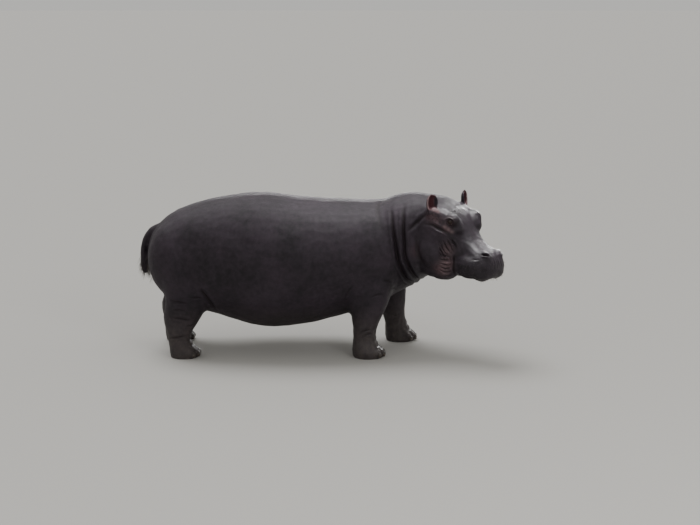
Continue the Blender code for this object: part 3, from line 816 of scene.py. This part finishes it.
def eye_surface():
    """A wet eyeball: a dark brown iris round a black pupil, in a brownish white, under a clear tear film."""
    looks = {"Roughness": 0.30, "IOR": 1.30, "Coat_Weight": 0.25, "Coat_Roughness": 0.03}
    material, tree, shader = new_material("wet_eyeball", **looks)
    pupil = (0.0, "#050404"), (0.20, "#070505")
    iris = (0.25, "#1A100B"), (0.50, "#291810"), (0.62, "#0B0706")
    white = (0.72, "#2E1F1C"), (1.0, "#4A3033")
    rings = ramped(tree, measured(tree, "from_pupil"), *pupil, *iris, *white)
    # Fibres of the iris and small veins.
    share = mapped(tree, noise_of(tree, object_place(tree), 2, 2).outputs[0], to_high=0.35)
    tree.links.new(stained(tree, rings, share, "#1A0F0B"), shader.inputs["Base Color"])
    return material


def nail_horn():
    """Toenails of horn: dark brown grey, ridged along their length and worn paler at the tip."""
    material, tree, shader = new_material("toenail_horn", Roughness=0.42, IOR=1.54, Coat_Weight=0.15)
    place = object_place(tree)
    height = add(tree, "SeparateXYZ", {}, {"Vector": place}).outputs["Z"]
    worn = mapped(tree, height, 0.055, 0.008, to_high=0.8)
    # Growth ridges, drawn by stretching a noise upwards.
    drawn_up = add(tree, "Mapping", {"Scale": (1, 1, 0.12)}, {"Vector": place}).outputs[0]
    ridges = noise_of(tree, drawn_up, 4, 3).outputs[0]
    base = ramped(tree, ridges, (0.0, "#1C1716"), (1.0, "#39302B"))
    tree.links.new(stained(tree, base, worn, "#4A4038"), shader.inputs["Base Color"])
    roughened(tree, shader, ridges, 0.5, 0.0008)
    return material


def bristle_horn():
    """Bristles of keratin: near black, with a soft gloss, paler towards some of the tips."""
    material, tree, shader = new_material("bristle_keratin", Roughness=0.38, IOR=1.55)
    shade = noise_of(tree, object_place(tree), 12, 1).outputs[0]
    tree.links.new(ramped(tree, shade, (0.4, "#181312"), (0.7, "#4A3A33")), shader.inputs["Base Color"])
    return material


def dressed(obj, material):
    obj.data.materials.clear()
    obj.data.materials.append(material)


dressed(skin, hippo_hide())


# ---------------------------------------------------------------- eyes and nails


EYE_RINGS, EYE_SPOKES = 40, 64
EYE_SHARE = 0.985  # the eyeball is a little smaller than the solid that it replaces
CORNEA_HEIGHT, CORNEA_REACH = 0.045, 0.52  # a share of the radius, and an angle in radians
PUPIL_SIZE = 0.33  # where the pupil's oval ends, as a share of the radius


def make_eyeball(side, material):
    """A round eyeball with a bulging cornea, turned about the way the eye looks."""
    centre, radius, outward, ahead, up = EYES[side]
    shape = bmesh.new()

    def point(angle, spin):
        bulge = CORNEA_HEIGHT * math.exp(-((angle / CORNEA_REACH) ** 4))
        out = math.cos(angle) * (1 + bulge) * outward
        aside = math.sin(angle) * (1 + bulge) * (math.cos(spin) * ahead + math.sin(spin) * up)
        return shape.verts.new(Vector(centre + radius * EYE_SHARE * (out + aside)))

    front = point(0, 0)
    angles = [math.pi * (i + 1) / (EYE_RINGS + 1) for i in range(EYE_RINGS)]
    spins = [2 * math.pi * k / EYE_SPOKES for k in range(EYE_SPOKES)]
    loops = [[point(angle, spin) for spin in spins] for angle in angles]
    back = point(math.pi, 0)
    for k in range(EYE_SPOKES):
        after = (k + 1) % EYE_SPOKES
        shape.faces.new((front, loops[0][k], loops[0][after]))
        shape.faces.new((back, loops[-1][after], loops[-1][k]))
        for one, other in zip(loops, loops[1:]):
            shape.faces.new((one[k], other[k], other[after], one[after]))
    bmesh.ops.recalc_face_normals(shape, faces=shape.faces)
    for face in shape.faces:
        face.smooth = True
    ball = object_of("eyeball_" + side, shape)
    offset = points_of(ball) - centre
    # The pupil is a level oval, so height counts for more than width.
    spread = np.hypot(offset @ ahead, offset @ up) / radius
    oval = np.hypot(offset @ ahead * 0.75, offset @ up * 1.5) / radius
    behind = offset @ outward < 0
    value = np.where(spread < PUPIL_SIZE, np.minimum(oval, PUPIL_SIZE), spread)
    tint(ball, "from_pupil", np.where(behind, 1, value))
    dressed(ball, material)
    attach(ball, "root")
    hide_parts("eye_" + side)
    return ball


eye_material = eye_surface()
eyeballs = [make_eyeball(side, eye_material) for side in SIDES]

# The nails stay the solids' own, with their edges rounded off.
NAIL_VOXEL = 0.002
NAIL_ROUNDS = 6
nails = [node for name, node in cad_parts.items() if name.startswith("nail_")]
nail_material = nail_horn()
for nail in nails:
    for holder in nail.material_slots:
        holder.material = nail_material
    rounding = nail.modifiers.new("rounding", "REMESH")
    rounding.mode = "VOXEL"
    rounding.voxel_size = NAIL_VOXEL
    rounding.use_smooth_shade = True
    worn_smooth = nail.modifiers.new("worn", "SMOOTH")
    worn_smooth.iterations = NAIL_ROUNDS


# ---------------------------------------------------------------- bristles


BODY_AXIS = 0.55  # the height that the unwrap turns about, as a share of the whole height


def unwrapped(points):
    """Where points lie on an unwrap of the skin: along the body, and round it."""
    low, high = CAD_BOX
    along = (points[:, 0] - low.x) / (high.x - low.x)
    axis_height = BODY_AXIS * high.z
    round_it = np.arctan2(points[:, 1], points[:, 2] - axis_height) / (2 * math.pi) + 0.5
    return np.stack([along, round_it], axis=1)


def scattered(weights, count, chance):
    """Picks that many different points, more of them where the weight is high."""
    return chance.choice(len(weights), size=count, replace=False, p=weights / weights.sum())


def unit(vectors):
    return vectors / np.linalg.norm(vectors, axis=-1, keepdims=True)


BRISTLE_STEPS = ((0.0, 1.0), (0.35, 0.85), (0.7, 0.5))  # how far along a bristle, and its thickness there
BRISTLE_SIDES = 3
BRISTLE_ROOT = 0.002  # how deep the roots sit in the skin
TUFT_PATCH = 0.003


def make_bristles(name, roots, ways, lengths, radius, droop, material):
    """Tapered, drooping bristles as one mesh, each with its own small patch on the skin's unwrap."""
    count = len(roots)
    across = unit(np.cross(ways, (0.31, 0.17, 0.93)))  # any way that no bristle points
    other = np.cross(ways, across)
    rings, patches = [], []
    root_uv = unwrapped(roots)

    def spine(t):
        return roots + lengths[:, None] * (ways * t + np.array([0, 0, -droop]) * t * t)

    for t, taper in BRISTLE_STEPS:
        for k in range(BRISTLE_SIDES):
            turn = 2 * math.pi * k / BRISTLE_SIDES
            aside = math.cos(turn) * across + math.sin(turn) * other
            rings.append(spine(t) + radius * taper * aside)
            patches.append(root_uv + TUFT_PATCH / 2 * (1 - t) * np.array([math.cos(turn), math.sin(turn)]))
    rings.append(spine(1.0))
    patches.append(root_uv)
    per = len(rings)
    points = np.stack(rings, axis=1).reshape(-1, 3)
    uv = np.stack(patches, axis=1).reshape(-1, 2)
    faces = []
    for step in range(len(BRISTLE_STEPS) - 1):
        for k in range(BRISTLE_SIDES):
            a = step * BRISTLE_SIDES + k
            b = step * BRISTLE_SIDES + (k + 1) % BRISTLE_SIDES
            faces.append((a, b, b + BRISTLE_SIDES, a + BRISTLE_SIDES))
    last = (len(BRISTLE_STEPS) - 1) * BRISTLE_SIDES
    faces += [(last + k, last + (k + 1) % BRISTLE_SIDES, per - 1) for k in range(BRISTLE_SIDES)]
    mesh = bpy.data.meshes.new(name)
    all_faces = [tuple(index + per * number for index in face) for number in range(count) for face in faces]
    mesh.from_pydata(points.tolist(), [], all_faces)
    layer = mesh.uv_layers.new(name="OFBake")
    corners = np.empty(len(mesh.loops), dtype=np.int64)
    mesh.loops.foreach_get("vertex_index", corners)
    layer.data.foreach_set("uv", uv[corners].ravel())
    mesh.polygons.foreach_set("use_smooth", [True] * len(mesh.polygons))
    obj = linked(name, mesh)
    dressed(obj, material)
    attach(obj, "root")
    return obj


def grow_bristles(obj, material):
    """Grows the bristles of the lips, chin and tail and the hair of the ears."""
    made = {}
    chance = np.random.default_rng(17)
    points, normals = points_of(obj), normals_of(obj)
    head = in_head(points)
    folded = mirrored(points)
    ahead, upward = HEAD_TURN[:, 0], HEAD_TURN[:, 2]

    def grow(name, weights, count, lie, lengths, radius, droop):
        """lie bends the bristles from straight out of the skin. lengths are the shortest and longest."""
        picked = scattered(weights, count, chance)
        ways = unit(normals[picked] + lie + chance.normal(0, 0.15, (count, 3)))
        size = chance.uniform(*lengths, count)
        roots = points[picked] - BRISTLE_ROOT * normals[picked]
        made[name] = make_bristles(name, roots, ways, size, radius, droop, material)

    along_lip = (.60, .19, -.13), (.70, .15, -.13), (.77, .06, -.12)
    lips = sum(blob(folded, place, 0.075) for place in along_lip)
    lips *= folded[:, 2] < 0.0
    grow("lip_bristles", lips, 320, 0.5 * ahead - 0.6 * upward, (.008, .026), .0007, .25)
    chin = blob(folded, (.66, .05, -.24), 0.07)
    grow("chin_bristles", chin, 80, 0.3 * ahead - 0.4 * upward, (.008, .020), .0007, .20)
    for side, sign in SIDES.items():
        ear = near_ear(points) * (head[:, 1] * sign > 0)
        tip = ramp(head[:, 2], 0.22, 0.30)
        grow("ear_hair_" + side, ear * (0.35 + tip), 1100, 1.6 * upward, (.004, .009), .00035, .10)
    # The tail's bristles grow on its lower part, behind the rump.
    tail = ramp(-points[:, 0], 1.50, 1.56) * (points[:, 2] < 0.92) * ramp(-points[:, 2], -0.92, -0.70)
    grow("tail_bristles", tail, 260, np.array([-0.15, 0, -1.9]), (.030, .075), .0012, .15)
    return made


bristles = grow_bristles(skin, bristle_horn())


# ---------------------------------------------------------------- floor, light and camera


FLOOR_RADIUS = 600  # so wide that its far edge meets the background at the horizon


def make_floor():
    shape = bmesh.new()
    bmesh.ops.create_circle(shape, cap_ends=True, radius=FLOOR_RADIUS, segments=96)
    floor = object_of("floor", shape)
    paint, _, _ = new_material("matte_floor_paint", Base_Color=linear("#C0BEBA"), Roughness=0.8)
    floor.data.materials.append(paint)


def hung(name, lamp, toward, place=(0, 0, 0)):
    """Places a lamp so that it shines toward a direction."""
    holder = linked(name, lamp)
    holder.location = place
    holder.rotation_euler = Vector(toward).to_track_quat("-Z", "Y").to_euler()
    return holder


def make_softbox(name, place, aim, size, watts, glints=True, on_floor=True):
    """A softbox, its size across and up. glints: shiny surfaces show it. on_floor: it lights the floor."""
    lamp = bpy.data.lights.new(name, "AREA")
    lamp.shape = "ELLIPSE"
    lamp.size, lamp.size_y = size
    lamp.energy = watts
    holder = hung(name, lamp, Vector(aim) - Vector(place), place)
    holder.visible_camera = False
    holder.visible_glossy = glints
    if not on_floor:
        lit = bpy.data.collections.new(name + "_lit")
        for piece in (skin, *eyeballs, *nails, bristles["tail_bristles"]):
            lit.objects.link(piece)
        holder.light_linking.receiver_collection = lit


def make_sky_light(strength, softness, toward):
    """A wide, soft light from one direction. softness is how many degrees of the sky it fills."""
    sun = bpy.data.lights.new("sky_light", "SUN")
    sun.energy = strength
    sun.angle = math.radians(softness)
    hung("sky_light", sun, toward)


def make_world(strength):
    world = bpy.data.worlds.new("studio")
    bpy.context.scene.world = world
    world.use_nodes = True
    sky = world.node_tree.nodes["Background"]
    sky.inputs["Color"].default_value = linear("#E9E8E4")
    sky.inputs["Strength"].default_value = strength


def make_camera(place, looks_down, lens):
    """A level camera that faces along y, tipped down by some degrees. lens is its focal length in mm."""
    view = bpy.data.cameras.new("camera")
    view.sensor_width = 36
    view.lens = lens
    camera = linked("camera", view)
    camera.location = place
    camera.rotation_euler = (math.radians(90 - looks_down), 0, 0)
    bpy.context.scene.camera = camera


make_floor()
make_sky_light(1.75, 35, (0.30, -0.35, -1.0))
# Low and wide behind, for the line of light along the back.
make_softbox("rim_softbox", (1.0, 9.0, 2.6), (0.2, 0, 1.2), (7.0, 1.2), 380, on_floor=False)
# Higher behind and ahead, for the ridge of the nose.
make_softbox("ridge_softbox", (5.0, 8.8, 5.0), (1.3, -0.2, 1.1), (1.6, 2.4), 260, on_floor=False)
# Over the head, for the brow and the top of the snout.
make_softbox("face_softbox", (1.6, -0.1, 5.2), (1.2, -0.3, 1.1), (1.3, 1.3), 230, on_floor=False)
# In front, to fill the shadows, and a small one for the glint in the eye.
make_softbox("front_softbox", (4.5, -8.0, 5.0), (0.2, 0, 0.7), (1.8, 1.8), 110, glints=False)
make_softbox("catch_light", (2.6, -7.0, 3.4), (1.0, 0, 1.1), (0.3, 0.3), 5)
make_world(0.70)
make_camera((0.2753, -12.4584, 3.1122), looks_down=10.5, lens=72)
